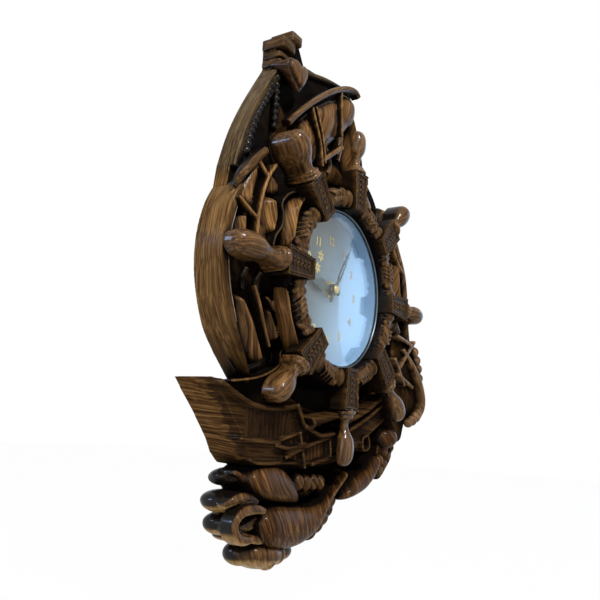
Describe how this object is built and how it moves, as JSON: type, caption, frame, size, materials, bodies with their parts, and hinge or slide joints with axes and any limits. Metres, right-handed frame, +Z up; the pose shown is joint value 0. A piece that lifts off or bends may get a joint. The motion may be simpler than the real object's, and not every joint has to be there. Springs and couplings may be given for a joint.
{
  "type": "carved ship wall clock",
  "caption": "Carved oak wall clock shaped as a sailing ship with a ship's wheel round a glazed dial, hands, quartz movement and keyhole hanger.",
  "frame": {"origin": "on the flat back face, on the dial's vertical centre line, 70 mm above the dial's centre", "axes": "+X to the right and +Z up as seen from the front; the wall is the plane Y = 0 and +Y points into it, so the carving stands out along -Y"},
  "size_m": [0.296, 0.0506, 0.392],
  "materials": {
    "oak": "dark stain, satin lacquer",
    "dark_oak": "near-black stain, satin lacquer",
    "pale_oak": "tan stain, satin lacquer",
    "dial_white": "printed, satin",
    "clear_glass": "polished",
    "black_gloss": "gloss",
    "silver": "bright",
    "hand_grey": "dark grey-green, satin",
    "brass": "polished",
    "steel": "plain",
    "black_plastic": "matt",
    "white_plastic": "matt",
    "copper": "enamelled copper wire",
    "green_board": "satin",
    "battery_wrap": "plain foil"
  },
  "bodies": {
    "carving": {"wheel_rim": "oak", "spoke_1": "oak", "spoke_2": "oak", "spoke_3": "oak", "spoke_4": "oak", "spoke_5": "oak", "spoke_6": "oak", "spoke_7": "oak", "spoke_8": "oak", "topsail": "oak", "foresail": "oak", "mainsail": "oak", "starboard_sail": "oak", "topsail_yard": "oak", "main_yard": "oak", "mast_cap": "oak", "pulley_block": "oak", "hull": "oak", "wave_crest": "oak", "left_dolphin": "oak", "right_dolphin": "oak", "right_crest": "oak", "wave_scrolls": "oak", "base_wave": "oak", "anchor": "oak", "anchor_cable": "oak", "bow_stays": "oak", "outer_shroud": "dark_oak", "inner_shroud": "dark_oak", "dial_backing": "dark_oak", "back_panel": "pale_oak", "dial_plate": "dial_white", "dial_glass": "clear_glass", "bezel_ring": "black_gloss", "spacer_ring": "silver", "fixing_nut": "brass", "hanger_plate": "steel", "hanger_screw_1": "steel", "hanger_screw_2": "steel", "plus_contact": "steel", "minus_contact": "steel", "stator": "steel", "movement_case": "black_plastic", "movement_cover": "black_plastic", "coil": "copper", "circuit_board": "green_board", "battery": "battery_wrap"},
    "minute": {"minute_hand": "hand_grey", "hand_cap": "brass", "centre_wheel": "brass"},
    "hour": {"hour_hand": "hand_grey", "hour_wheel": "white_plastic"},
    "motion": {"motion_wheel": "white_plastic"},
    "third": {"third_wheel": "white_plastic"},
    "rotor_shaft": {"rotor": "steel"},
    "setting": {"setting_knob": "black_plastic"}
  },
  "joints": [
    {"name": "minute_spin", "type": "hinge", "parent": "carving", "child": "minute", "pos_m": [0, 0, -0.07], "axis": [0, 1, 0], "continuous": true},
    {"name": "hour_spin", "type": "hinge", "parent": "carving", "child": "hour", "pos_m": [0, 0, -0.07], "axis": [0, 1, 0], "continuous": true},
    {"name": "motion_spin", "type": "hinge", "parent": "carving", "child": "motion", "pos_m": [0.01128, 0, -0.0659], "axis": [0, 1, 0], "continuous": true},
    {"name": "third_spin", "type": "hinge", "parent": "carving", "child": "third", "pos_m": [-0.00942, 0, -0.06456], "axis": [0, 1, 0], "continuous": true},
    {"name": "rotor_spin", "type": "hinge", "parent": "carving", "child": "rotor_shaft", "pos_m": [-0.00492, 0, -0.05677], "axis": [0, 1, 0], "continuous": true},
    {"name": "setting_spin", "type": "hinge", "parent": "carving", "child": "setting", "pos_m": [0.01728, 0, -0.0555], "axis": [0, 1, 0], "continuous": true}
  ],
  "couplings": [
    {"joint": "hour_spin", "follows": "minute_spin", "ratio": 0.083333},
    {"joint": "motion_spin", "follows": "minute_spin", "ratio": -0.33333},
    {"joint": "third_spin", "follows": "minute_spin", "ratio": -7.5},
    {"joint": "rotor_spin", "follows": "minute_spin", "ratio": 60},
    {"joint": "setting_spin", "follows": "minute_spin", "ratio": 1}
  ]
}
